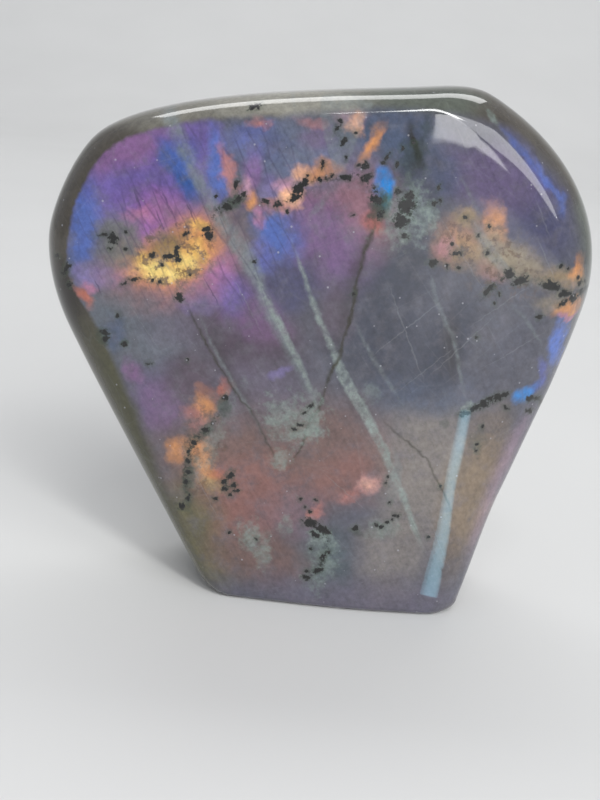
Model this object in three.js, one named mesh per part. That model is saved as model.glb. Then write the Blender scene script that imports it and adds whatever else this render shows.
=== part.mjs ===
// A polished labradorite freeform: one thick slab of feldspar, lapped and polished by hand
// to the outline of a lopsided shield. It narrows to a flat cut foot, on which it stands,
// and its two faces roll over into the sides. Millimetres, +Z up, the front face looks
// along -Y, and the origin is at the foot, under the middle of the bounding box.
import * as THREE from "three";

// Driving dimensions
const HALF_WIDTH = 52; // at the shoulders
const HEIGHT = 102; // of the crest, right of the middle
const FOOT_LEFT = -17.5; // the foot's ends, where the slanting sides reach the ground
const FOOT_RIGHT = 34.6;
const HALF_THICKNESS_LOW = 15.8; // in the middle of the slab, at the foot
const HALF_THICKNESS_HIGH = 13; // and at the crest
const DOME = 3.4; // how far a face falls away from its middle to the shoulders
const WAVE = 0.12; // unevenness left by polishing by hand
const WAVE_LENGTH = 46;
const HEART = new THREE.Vector2(2, 55); // where the rings of the mesh close in
const FACE_RINGS = [0.12, 0.34, 0.56, 0.78]; // shares of the way from the heart to a roll
const ROLL_ROWS = 6; // over each rolled edge
const SIDE_ROWS = 2; // across the side, between the two rolled edges

// A rolled edge: how far it reaches in over the face, how far it drops to the side, and
// how flat it is in between, from 0 for a round edge to 1 for a straight bevel
const roll = (reach, drop, flatness = 0) => ({ reach, drop, flatness });
const FOOT_ROLL = roll(1.8, 1.8);
const BACK_ROLL = roll(6.5, 8);

const at = (x, z) => new THREE.Vector2(x, z);
const line = (a, b) => new THREE.LineCurve(a, b);
const bend = (a, p, q, b) => new THREE.CubicBezierCurve(a, p, q, b);

// Places where the outline changes, seen from the front
const footLeft = at(FOOT_LEFT + 6, 0);
const footRight = at(FOOT_RIGHT - 6, 0);
const heelRight = at(FOOT_RIGHT + 0.3, 3);
const flankRight = at(40.3, 24); // from here up to the hip, the front is lapped back broadly
const hipRight = at(47.6, 47.3);
const waistRight = at(50.1, 57);
const shoulderRight = at(HALF_WIDTH, 69);
const crestRight = at(28, 101);
const crestLeft = at(18, 101.5);
const crownLeft = at(-42.6, 88.2);
const shoulderLeft = at(-HALF_WIDTH, 68);
const waistLeft = at(-46.7, 50);
const heelLeft = at(FOOT_LEFT - 2, 4.3);

// The outline, anticlockwise from the left end of the foot. Each stretch says how many
// steps it takes and how the front and back edges are rolled at its far end.
const outline = [
  [line(footLeft, footRight), 13, FOOT_ROLL, FOOT_ROLL],
  [bend(footRight, at(33.6, 0), at(34.8, 0.6), heelRight), 9, roll(9.2, 4.2, 0.2), roll(4, 4.5)],
  [bend(heelRight, at(36.6, 10.5), at(38.4, 17.2), flankRight), 9, roll(13.5, 7.6, 0.25), BACK_ROLL],
  [line(flankRight, hipRight), 10, roll(17.5, 9.2, 0.25), BACK_ROLL],
  [line(hipRight, waistRight), 4, roll(15.5, 9.6, 0.2), BACK_ROLL],
  [bend(waistRight, at(51.1, 61.6), at(HALF_WIDTH, 65), shoulderRight), 6, roll(10, 10.5, 0.1), BACK_ROLL],
  [bend(shoulderRight, at(HALF_WIDTH, 83.8), at(41.2, 94.8), crestRight), 18, roll(8, 9.5, 0.2), BACK_ROLL],
  [bend(crestRight, at(25.7, 102.1), at(22, 102.1), crestLeft), 6, roll(6.5, 9), BACK_ROLL],
  [bend(crestLeft, at(5.5, 99.6), at(-30.5, 97.3), crownLeft), 24, roll(5.5, 8.5), BACK_ROLL],
  [bend(crownLeft, at(-47, 84.9), at(-HALF_WIDTH, 73), shoulderLeft), 10, roll(6, 8.5), BACK_ROLL],
  [bend(shoulderLeft, at(-HALF_WIDTH, 61.5), at(-49.8, 55.3), waistLeft), 8, roll(7.5, 8), BACK_ROLL],
  [bend(waistLeft, at(-38.2, 34.5), at(-28, 19.5), heelLeft), 20, roll(5.5, 6), roll(5, 6)],
  [bend(heelLeft, at(-18.1, 1.5), at(-15, 0), footLeft), 6, FOOT_ROLL, FOOT_ROLL],
];

// The roll at share u of a stretch, easing from the roll at its start to that at its end
function easeRoll(start, end, u) {
  const share = THREE.MathUtils.smoothstep(u, 0, 1);
  const ease = (key) => THREE.MathUtils.lerp(start[key], end[key], share);
  return roll(ease("reach"), ease("drop"), ease("flatness"));
}

// The stations around the outline, each a place with the rolls of its two edges
function outlineStations() {
  const stations = [];
  let [, , frontBefore, backBefore] = outline.at(-1);
  for (const [curve, steps, frontAfter, backAfter] of outline) {
    for (let i = 0; i < steps; i++) {
      const u = i / steps;
      stations.push({
        place: curve.getPointAt(u),
        front: easeRoll(frontBefore, frontAfter, u),
        back: easeRoll(backBefore, backAfter, u),
      });
    }
    frontBefore = frontAfter;
    backBefore = backAfter;
  }
  return stations;
}

// Half the slab's thickness at a place: it tapers upwards, and the face is a low dome
// with a faint wave. facing is -1 on the front and 1 on the back.
function halfThickness({ x, y: z }, facing) {
  const taper = THREE.MathUtils.lerp(HALF_THICKNESS_LOW, HALF_THICKNESS_HIGH, z / HEIGHT);
  const across = (x - HEART.x) / HALF_WIDTH;
  const along = (z - HEART.y) / HALF_WIDTH;
  const turn = (2 * Math.PI) / WAVE_LENGTH;
  const wave = Math.sin(turn * (x + 0.6 * facing * z)) + Math.sin(turn * (1.3 * z - facing * x));
  return taper - DOME * (across ** 2 + 0.35 * along ** 2) + WAVE * wave;
}

// Half of the slab's section at a station: in from the heart, out over the rolled edge
function halfSection(place, edge, facing) {
  const outwards = place.clone().sub(HEART);
  const radius = outwards.length();
  outwards.normalize();
  const pointAt = (distance, drop) => {
    const spot = HEART.clone().addScaledVector(outwards, distance);
    return new THREE.Vector3(spot.x, facing * (halfThickness(spot, facing) - drop), spot.y);
  };
  const section = FACE_RINGS.map((share) => pointAt(share * (radius - edge.reach), 0));
  for (let i = 0; i <= ROLL_ROWS; i++) {
    const angle = (i / ROLL_ROWS) * (Math.PI / 2);
    const inset = edge.reach * (1 - Math.sin(angle) ** (1 + edge.flatness));
    section.push(pointAt(radius - inset, edge.drop * (1 - Math.cos(angle) ** (1 + edge.flatness))));
  }
  return section;
}

// A whole section: over the front, across the side and back in over the back
function wholeSection({ place, front, back }) {
  const frontHalf = halfSection(place, front, -1);
  const backHalf = halfSection(place, back, 1).reverse();
  const side = [];
  for (let i = 1; i < SIDE_ROWS; i++) {
    side.push(frontHalf.at(-1).clone().lerp(backHalf[0], i / SIDE_ROWS));
  }
  return [...frontHalf, ...side, ...backHalf];
}

function stoneGeometry() {
  const sections = outlineStations().map(wholeSection);
  const rows = sections[0].length;
  const points = sections.flat();
  const frontHeart = points.length;
  points.push(new THREE.Vector3(HEART.x, -halfThickness(HEART, -1), HEART.y));
  const backHeart = points.length;
  points.push(new THREE.Vector3(HEART.x, halfThickness(HEART, 1), HEART.y));

  const faces = [];
  sections.forEach((_, i) => {
    const here = i * rows;
    const next = ((i + 1) % sections.length) * rows;
    for (let row = 0; row < rows - 1; row++) {
      faces.push(here + row, here + row + 1, next + row + 1);
      faces.push(here + row, next + row + 1, next + row);
    }
    faces.push(frontHeart, here, next);
    faces.push(backHeart, next + rows - 1, here + rows - 1);
  });

  const geometry = new THREE.BufferGeometry().setFromPoints(points);
  geometry.setIndex(faces);
  geometry.computeVertexNormals();
  return geometry;
}

const polishedStone = new THREE.MeshStandardMaterial({
  color: 0x6b6577,
  roughness: 0.08,
  metalness: 0,
});

const stone = new THREE.Mesh(stoneGeometry(), polishedStone);
stone.name = "labradorite";

const group = new THREE.Group();
group.add(stone);

export default group;
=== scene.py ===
import math

import bmesh
import bpy
from mathutils import Matrix, Vector


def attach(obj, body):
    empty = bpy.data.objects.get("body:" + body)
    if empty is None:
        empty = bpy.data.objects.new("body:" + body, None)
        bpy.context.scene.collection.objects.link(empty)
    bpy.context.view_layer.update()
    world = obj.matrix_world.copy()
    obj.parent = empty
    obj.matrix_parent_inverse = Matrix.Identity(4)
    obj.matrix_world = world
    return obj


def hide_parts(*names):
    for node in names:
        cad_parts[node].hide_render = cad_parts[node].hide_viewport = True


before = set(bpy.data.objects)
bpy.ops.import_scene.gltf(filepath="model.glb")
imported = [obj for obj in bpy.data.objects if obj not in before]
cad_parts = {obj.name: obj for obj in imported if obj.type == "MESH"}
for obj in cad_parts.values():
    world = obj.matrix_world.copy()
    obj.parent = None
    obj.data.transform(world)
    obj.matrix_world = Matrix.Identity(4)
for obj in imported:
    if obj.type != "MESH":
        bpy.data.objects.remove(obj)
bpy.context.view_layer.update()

# The camera
#
# It stands 19 cm in front of the stone, level with its top, and looks down on it by
# 18 degrees. It is held a little askew, so the stone leans to the left in the picture.
EYE = (-0.0012, -0.1925, 0.1013)
LOOKS_DOWN = math.radians(18)
HELD_ASKEW = math.radians(5.6)

bpy.ops.object.camera_add(location=EYE)
camera = bpy.context.object
camera.matrix_world = (
    Matrix.Translation(EYE)
    @ Matrix.Rotation(math.radians(90) - LOOKS_DOWN, 4, "X")
    @ Matrix.Rotation(HELD_ASKEW, 4, "Z")
)
camera.data.sensor_width = 36
camera.data.lens = 45
camera.data.clip_start = 0.01
bpy.context.scene.camera = camera

# The stone's shape
#
# One slab of labradorite feldspar, sawn from the rough, ground to a lopsided shield and
# polished by hand on a soft wheel, so its faces run into its sides without an edge.
SMOOTHING_STEPS = 2
WELD = 1e-6

rough_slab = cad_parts["labradorite"]
stone = rough_slab.copy()
stone.data = rough_slab.data.copy()
stone.name = stone.data.name = "polished_slab"
bpy.context.scene.collection.objects.link(stone)

bpy.ops.object.select_all(action="DESELECT")
bpy.context.view_layer.objects.active = stone
stone.select_set(True)
bpy.ops.object.mode_set(mode="EDIT")
bpy.ops.mesh.select_all(action="SELECT")
bpy.ops.mesh.remove_doubles(threshold=WELD)
bpy.ops.mesh.tris_convert_to_quads()
bpy.ops.object.mode_set(mode="OBJECT")

polishing = stone.modifiers.new("polishing", "SUBSURF")
polishing.levels = polishing.render_levels = SMOOTHING_STEPS
bpy.ops.object.modifier_apply(modifier=polishing.name)
bpy.ops.object.shade_smooth()

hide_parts("labradorite")
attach(stone, "root")

# Mixing a finish
#
# The stone's look is one procedural material, painted in layers: the body of the
# feldspar, the flashes in it, the veins and cracks, the dark grains, and the polish.
MM = 1000


class Mixture:
    """A node tree that is being mixed: a material, or one layer of it"""

    def __init__(self, tree):
        self.tree = tree
        self.tree.nodes.clear()

    def node(self, kind, settings=None, sockets=None):
        """A node of a kind: its settings are set first, then its sockets' values or links"""
        made = self.tree.nodes.new(kind)
        for key, value in (settings or {}).items():
            if key == "stops":
                lay_stops(made.color_ramp, value)
            else:
                setattr(made, key, value)
        for key, value in (sockets or {}).items():
            if isinstance(value, Field):
                self.tree.links.new(value.socket, made.inputs[key])
            else:
                made.inputs[key].default_value = value
        return made

    def field(self, kind, settings=None, sockets=None, output=0):
        """The same, for a node of which one output is wanted"""
        return Field(self, self.node(kind, settings, sockets).outputs[output])

    def parts(self, kind, whole):
        """The parts that a node of this kind separates a colour or a place into"""
        return [Field(self, output) for output in self.node(kind, sockets={0: whole}).outputs]

    def vector(self, operation, sockets, output=0):
        return self.field("ShaderNodeVectorMath", {"operation": operation}, sockets, output)

    def scaled(self, direction, length):
        """A direction, made this long"""
        return self.vector("SCALE", {0: direction, "Scale": length})

    def grain(self, size, detail, roughness=0.5):
        """Natural unevenness whose lumps are about size mm across"""
        return self.field("ShaderNodeTexNoise", sockets={
            "Vector": self.place, "Scale": MM / size, "Detail": detail, "Roughness": roughness,
        })

    def strayed(self, where, size, amount, detail=2.0):
        """Places moved about by up to half of amount, so that what is drawn has live edges"""
        across = self.scaled((amount, 0, 0), self.grain(size, detail) - 0.5)
        up = self.scaled((0, amount, 0), self.grain(size * 1.31, detail) - 0.5)
        return where.moved(across).moved(up)

    def drawn_out(self, turn, length, breadth):
        """The front turned by an angle, and measured in these lengths and breadths in mm"""
        return self.field("ShaderNodeMapping", {"vector_type": "TEXTURE"}, {
            "Vector": self.place,
            "Rotation": (math.pi / 2, -math.radians(turn), 0),
            "Scale": (length / MM, breadth / MM, breadth / MM),
        })

    def paint(self, under, over, amount):
        """One colour over another, by an amount from 0 to 1"""
        return self.field("ShaderNodeMix", {"data_type": "RGBA"}, {0: amount, 6: under, 7: over}, 2)

    def measured(self, x_share, y_share, z_share):
        """How far a place lies along a direction, in mm"""
        shares = (x_share * MM, y_share * MM, z_share * MM)
        return self.vector("DOT_PRODUCT", {0: self.place, 1: shares}, "Value")

    def front(self):
        """The stone seen square on from the front: x, height, and 1"""
        across = self.vector("MULTIPLY_ADD", {0: self.place, 1: (MM, 0, 0), 2: (0, 0, 1)})
        return across.moved(self.scaled((0, 1, 0), self.measured(0, 0, 1)))


def lay_stops(ramp, stops):
    """Puts a ramp's stops, each a place from 0 to 1 and three values"""
    ramp.interpolation = "LINEAR"
    for i, (place, values) in enumerate(stops):
        stop = ramp.elements[i] if i < 2 else ramp.elements.new(place)
        stop.position = place
        stop.color = (*values, 1)


class Field:
    """A value that varies over a surface. Reckoning with it adds Math nodes."""

    def __init__(self, mixture, socket):
        self.mixture = mixture
        self.socket = socket

    def reckon(self, operation, *terms):
        sockets = dict(enumerate(terms))
        return self.mixture.field("ShaderNodeMath", {"operation": operation}, sockets)

    def __add__(self, other):
        return self.reckon("ADD", self, other)

    __radd__ = __add__

    def __sub__(self, other):
        return self.reckon("SUBTRACT", self, other)

    def __rsub__(self, other):
        return self.reckon("SUBTRACT", other, self)

    def __mul__(self, other):
        return self.reckon("MULTIPLY", self, other)

    def __truediv__(self, other):
        return self.reckon("DIVIDE", self, other)

    def __abs__(self):
        return self.reckon("ABSOLUTE", self)

    def least(self, other):
        return self.reckon("MINIMUM", self, other)

    def most(self, other):
        return self.reckon("MAXIMUM", self, other)

    def ease(self, start, end, full=1.0):
        """From 0 where this is start to full where it is end, with no corner at either"""
        smooth = {"interpolation_type": "SMOOTHSTEP", "clamp": False}
        spread = {"Value": self, "From Min": start, "From Max": end, "To Max": full}
        return self.mixture.field("ShaderNodeMapRange", smooth, spread)

    def along(self, x_share, z_share, start=0.0):
        """How far a place on the front lies along a direction"""
        return self.mixture.vector("DOT_PRODUCT", {0: self, 1: (x_share, z_share, start)}, "Value")

    def moved(self, by):
        return self.mixture.vector("ADD", {0: self, 1: by})

    def from_spot(self, x, z):
        """How far a place on the front is from this spot, in mm"""
        return self.mixture.vector("DISTANCE", {0: self, 1: (x, z, 1)}, "Value")


class Layer(Mixture):
    """One layer of the stone's look, kept as a node group. It is painted by the front, as
    seen square on, moved about as its edges need."""

    def __init__(self, name, takes=(), gives=("Colour",)):
        super().__init__(bpy.data.node_groups.new(name, "ShaderNodeTree"))
        for socket in ("Place", "Where", *takes):
            kind = "NodeSocketColor" if socket == "Under" else "NodeSocketVector"
            self.tree.interface.new_socket(socket, in_out="INPUT", socket_type=kind)
        for socket in gives:
            kind = "NodeSocketColor" if socket == "Colour" else "NodeSocketFloat"
            self.tree.interface.new_socket(socket, in_out="OUTPUT", socket_type=kind)
        self.taken = self.node("NodeGroupInput")
        self.place = Field(self, self.taken.outputs["Place"])
        self.where = Field(self, self.taken.outputs["Where"])

    def under(self):
        return Field(self, self.taken.outputs["Under"])

    def laid(self, where, gives, over=None):
        """Puts the finished layer into the polished material"""
        self.node("NodeGroupOutput", sockets=gives)
        sockets = {"Place": polished.place, "Where": where}
        if over:
            sockets["Under"] = over
        made = polished.node("ShaderNodeGroup", {"node_tree": self.tree}, sockets)
        outputs = [Field(polished, made.outputs[name]) for name in gives]
        return outputs[0] if len(outputs) == 1 else outputs


def new_finish(name):
    material = bpy.data.materials.new(name)
    material.use_nodes = True
    return material, Mixture(material.node_tree)


stone_finish, polished = new_finish("polished_labradorite")
polished.place = polished.field("ShaderNodeTexCoord", output="Object")

# The front, and the same moved about: a little, for veins, and in two sizes, for patches
# with wandering or with broken edges
front = polished.front()
wavering = polished.strayed(front, 1.3, 0.9, 3)
wandering = polished.strayed(polished.strayed(front, 8, 6), 1.6, 2, 4)
broken = polished.strayed(polished.strayed(front, 3.2, 4), 0.9, 1.8, 4)


def patch(where, x, z, half_width, half_height, turn=0):
    """How far out a place is in an ellipse: 0 at its middle, 1 on its edge"""
    if turn:
        cos, sin = math.cos(math.radians(turn)), math.sin(math.radians(turn))
        run = where.along(cos / half_width, sin / half_width, -(x * cos + z * sin) / half_width)
        side = where.along(-sin / half_height, cos / half_height, (x * sin - z * cos) / half_height)
        centred = where.mixture.field("ShaderNodeCombineXYZ", sockets={0: run, 1: side})
    else:
        centred = where.mixture.vector("MULTIPLY_ADD", {
            0: where,
            1: (1 / half_width, 1 / half_height, 0),
            2: (-x / half_width, -z / half_height, 0),
        })
    return where.mixture.vector("LENGTH", {0: centred}, "Value")


# Light that the polish mirrors, and light on the stone, so that a colour can be given as
# it is seen
MIRRORED = 0.028
LIT = 1.15
BLACKEST = 0.002


def seen(red, green, blue):
    """The linear base colour of a place that is seen as this sRGB colour, each from 0 to 255"""
    def base(value):
        value /= 255
        linear = value / 12.92 if value <= 0.04045 else ((value + 0.055) / 1.055) ** 2.4
        return max(BLACKEST, (linear - MIRRORED) / LIT)

    return (base(red), base(green), base(blue), 1)


def lay_patches(under, where, softness, patches):
    """Paints soft-edged ellipses one over the other"""
    for x, z, half_width, half_height, turn, colour, strength in patches:
        off = patch(where, x, z, half_width, half_height, turn)
        under = where.mixture.paint(under, colour, off.ease(1 + softness, 1 - softness, strength))
    return under


# The body of the feldspar
#
# Where no flash shows, as all round the rims, the feldspar is a smoky, half clear
# grey-brown that goes greener or paler from place to place. The pale patches along the
# top rim are a painted reflection of the bright surroundings.
SMOKY = seen(86, 82, 76)
SMOKY_DARK = seen(62, 59, 58)
SMOKY_GREEN = seen(98, 104, 96)
# pale grey-beige, also used for the painted reflection along the top rim
SMOKY_PALE_AND_REFLECTION = seen(150, 148, 138)
SMOKY_OLIVE = seen(84, 84, 66)
SMOKY_ROSE = seen(138, 108, 112)
SMOKY_TAN = seen(140, 122, 100)

body_layer = Layer("feldspar_body")
body = body_layer.laid(wandering, {"Colour": lay_patches(SMOKY, body_layer.where, 0.55, [
    (-48, 56, 7, 8, 0, SMOKY_DARK, 0.9),
    (-45, 82, 8, 9, 40, SMOKY, 1),
    (-34, 38, 4, 16, 27, SMOKY_OLIVE, 0.8),
    (-22, 14, 5, 15, 25, SMOKY_OLIVE, 1),
    # painted reflection: a pale band along the top rim, lighter where it mirrors the bright
    # surroundings
    (-22, 94.5, 16, 2.6, 12, SMOKY_PALE_AND_REFLECTION, 0.55),
    (-5, 97, 15, 3, 7, SMOKY_PALE_AND_REFLECTION, 0.9),
    (16, 99, 12, 3, 4, SMOKY_GREEN, 0.8),
    (34, 95, 10, 4, -38, SMOKY, 0.9),
    (50, 78, 4, 14, 8, SMOKY_GREEN, 0.8),
    (50, 60, 3.5, 10, -8, SMOKY_GREEN, 0.8),
    (46, 42, 4, 9, -16, SMOKY, 0.7),
    (39, 20, 4.5, 18, -17, SMOKY_ROSE, 0.8),
    (10, 0, 28, 2.4, 0, SMOKY_PALE_AND_REFLECTION, 0.5),
])})

# The grounds behind the flashes
#
# Below the polish the light comes back from countless thin layers, and gives the whole
# front a dim sheen: slate and blue on the right, rose and brown below, mauve in between.
SLATE = seen(93, 94, 104)
SLATE_BLUE = seen(86, 96, 117)
SLATE_DARK = seen(66, 70, 82)
SLATE_GREEN = seen(88, 100, 104)
SLATE_TEAL = seen(103, 109, 117)
MAUVE = seen(105, 94, 122)
MAUVE_GREY = seen(107, 101, 116)
PURPLE = seen(116, 92, 130)
ROSE_MAUVE = seen(150, 114, 124)
ROSE = seen(138, 102, 97)
ROSE_BROWN = seen(119, 98, 94)
BROWN_MAUVE = seen(98, 85, 96)
OLIVE = seen(108, 104, 82)
BEIGE = seen(136, 129, 124)
INDIGO = seen(82, 82, 108)
BROWN_DARK = seen(88, 76, 88)
SLATE_LILAC = seen(108, 116, 142)

ground_layer = Layer("dim_sheen")
ground = ground_layer.laid(wandering, {"Colour": lay_patches(SLATE, ground_layer.where, 0.6, [
    (-30, 54, 13, 7, 0, SLATE_TEAL, 0.9),
    (-24, 56, 7, 6, 0, MAUVE_GREY, 0.7),
    (-12, 54, 11, 9, -30, BROWN_DARK, 0.9),
    (-28, 40, 5, 7, 20, MAUVE, 0.8),
    (-22, 44, 5, 5, 0, BROWN_MAUVE, 0.8),
    (-8, 43, 8, 7, 0, MAUVE_GREY, 0.7),
    (-10, 27, 17, 12, 0, ROSE_BROWN, 1),
    (-6, 24, 10, 7, 0, ROSE, 0.9),
    (-14, 17, 7, 7, 0, ROSE, 0.7),
    (-20, 14, 6.5, 10, 10, OLIVE, 0.95),
    (-15, 8, 7, 5, 0, OLIVE, 0.8),
    (-8, 11, 8, 5, 0, ROSE_BROWN, 0.7),
    (6, 34, 10, 10, 0, ROSE_BROWN, 0.9),
    (9, 28, 9, 6, 30, ROSE, 0.7),
    (0, 20, 7, 5, 0, MAUVE_GREY, 0.6),
    (12, 17, 6, 8, 0, SLATE, 0.95),
    (7, 10, 5, 7, 0, SLATE_GREEN, 0.7),
    (20, 14, 6, 10, 0, BEIGE, 0.7),
    (-3, 9, 7, 5, 20, ROSE_BROWN, 0.7),
    (14, 3, 22, 5, 0, MAUVE_GREY, 0.6),
    (-11, 22, 9, 6, -30, ROSE, 0.4),
    (25, 32, 9, 13, 10, BEIGE, 0.9),
    (34, 28, 5, 16, -8, SMOKY_TAN, 0.7),
    (22, 47, 9, 4, 0, SLATE_BLUE, 0.7),
    (14, 58, 9, 12, 0, SLATE_DARK, 0.7),
    (15, 72, 7, 6, 0, SLATE_DARK, 0.7),
    (34, 57, 13, 10, 0, SLATE, 0.8),
    (25, 56, 4, 9, -15, SLATE_DARK, 0.8),
    (38, 81, 8, 7, -30, INDIGO, 0.8),
    (28, 87, 9, 5, -15, MAUVE, 0.9),
    (10, 92, 8, 6, 0, SLATE_BLUE, 0.9),
    (3, 80, 9, 8, -20, ROSE_MAUVE, 0.9),
    (0, 73, 9, 7, -40, PURPLE, 0.9),
    (-6, 65, 5, 5, -50, INDIGO, 0.85),
    (-8, 88, 12, 5, 0, SLATE_LILAC, 0.9),
    (-14, 61, 6, 5, -50, PURPLE, 0.6),
    (4, 60, 3, 5, 0, BROWN_MAUVE, 0.6),
])})

# The flashes
#
# Labradorite's play of colour. In patches the layers are so even that they send back one
# strong colour, from blue and violet through rose to gold, cut off sharply at the veins.
VIOLET = seen(112, 98, 156)
VIOLET_PINK = seen(134, 101, 140)
VIOLET_BLUE = seen(98, 104, 166)
LILAC = seen(124, 115, 158)
BLUE = seen(84, 106, 172)
BLUE_DEEP = seen(56, 92, 154)
AZURE = seen(58, 136, 210)
TEAL = seen(52, 118, 130)
MAGENTA = seen(150, 104, 166)
PINK = seen(180, 122, 150)
PINK_PALE = seen(200, 152, 172)
SALMON = seen(184, 124, 116)
RED_ORANGE = seen(180, 110, 94)
ORANGE = seen(216, 150, 96)
ORANGE_SOFT = seen(204, 144, 98)
PEACH = seen(250, 190, 150)
GOLD = seen(228, 182, 102)
YELLOW = seen(236, 208, 126)
TAN = seen(160, 138, 104)
TAN_GREY = seen(144, 132, 112)
OLIVE_GOLD = seen(126, 110, 72)
LAVENDER_BLUE = seen(96, 120, 190)
NET_BROWN = seen(100, 80, 66)
NO_FLASH = seen(106, 110, 106)
HAZE = seen(108, 106, 114)

cool_layer = Layer("cool_flashes", takes=["Under"])
cool = lay_patches(cool_layer.under(), cool_layer.where, 0.6, [
    # Upper left, between the rim and the broad vein
    (-34, 80, 13, 10, 30, VIOLET, 1),
    (-26, 84, 5, 8, 32, VIOLET, 0.9),
    (-36, 86.5, 9, 3.6, 24, VIOLET_PINK, 0.9),
    (-23, 90, 3, 2.5, 0, VIOLET, 0.8),
    (-43.6, 71, 3, 8, 0, BLUE, 0.9),
    (-25.6, 81.5, 7, 1.9, -58, BLUE_DEEP, 0.95),
    (-27, 85.5, 2.6, 3, 0, BLUE, 0.7),
    (-43, 63, 2.4, 2.2, 0, LILAC, 0.9),
    (-39, 63, 5, 3, 0, LILAC, 0.8),
    (-31, 76.5, 5, 3, 0, MAGENTA, 0.55),
    (-18, 65.5, 3, 4, -20, MAGENTA, 0.9),
    (-22, 62.5, 3.2, 1.8, 0, VIOLET_PINK, 0.8),
    (-15.5, 62, 3.5, 3, -50, VIOLET, 0.8),
    # Between the veins
    (-21, 86, 1.6, 5, 10, LAVENDER_BLUE, 0.75),
    (-20, 82, 1.6, 4, 12, BLUE, 0.8),
    (-13, 89.5, 5, 3, 0, VIOLET_BLUE, 0.6),
    (-7, 90, 5, 3, 0, SLATE_TEAL, 0.5),
    (-3, 91, 3, 2.4, 0, VIOLET_PINK, 0.4),
    (-13.5, 83, 2, 4, 0, MAGENTA, 0.5),
    (-9.3, 81.5, 2, 2.4, 0, LILAC, 0.9),
    (-8, 74, 3.4, 4.4, 30, BLUE, 0.95),
    (-10, 69.5, 2.4, 2.6, 30, VIOLET_BLUE, 0.9),
    (-6, 64.6, 3.4, 2.6, 0, INDIGO, 0.6),
    # Right of the middle
    (9.4, 84.2, 1.6, 2.8, 20, AZURE, 1),
    (10.5, 81.6, 1.4, 1.4, 0, TEAL, 0.9),
    (20.5, 87, 3.4, 3.4, 0, SLATE_BLUE, 0.6),
    (35, 91, 9, 1.5, -46, VIOLET_BLUE, 0.4),
    (33.6, 91.6, 5, 0.7, -42, BLUE, 0.45),
    (39.8, 86, 5, 0.7, -55, LAVENDER_BLUE, 0.5),
    (46.4, 58.5, 5.6, 1.5, -84, LAVENDER_BLUE, 0.95),
    (44.6, 51, 3.4, 1.3, -72, VIOLET_BLUE, 0.8),
    (43.4, 48, 1.8, 1.4, 0, BLUE, 0.7),
    (41.3, 46.6, 1.8, 1.5, 30, AZURE, 0.75),
    # Left of the middle
    (-36.5, 51.5, 2.4, 2.8, 0, SLATE_BLUE, 0.9),
    (-32.3, 46, 2, 2, 0, VIOLET_PINK, 0.8),
    (-22, 60, 3, 2, 0, LILAC, 0.6),
    (-9, 57, 4, 4, -30, VIOLET_PINK, 0.35),
    (-5, 47.9, 2.4, 0.7, 30, LILAC, 0.7),
    (-28, 39, 3.4, 5, 20, VIOLET_PINK, 0.4),
    (2.6, 95, 3, 1.6, 0, PINK_PALE, 0.5),
])
flashes = cool_layer.laid(wandering, {"Colour": cool}, over=ground)

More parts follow.
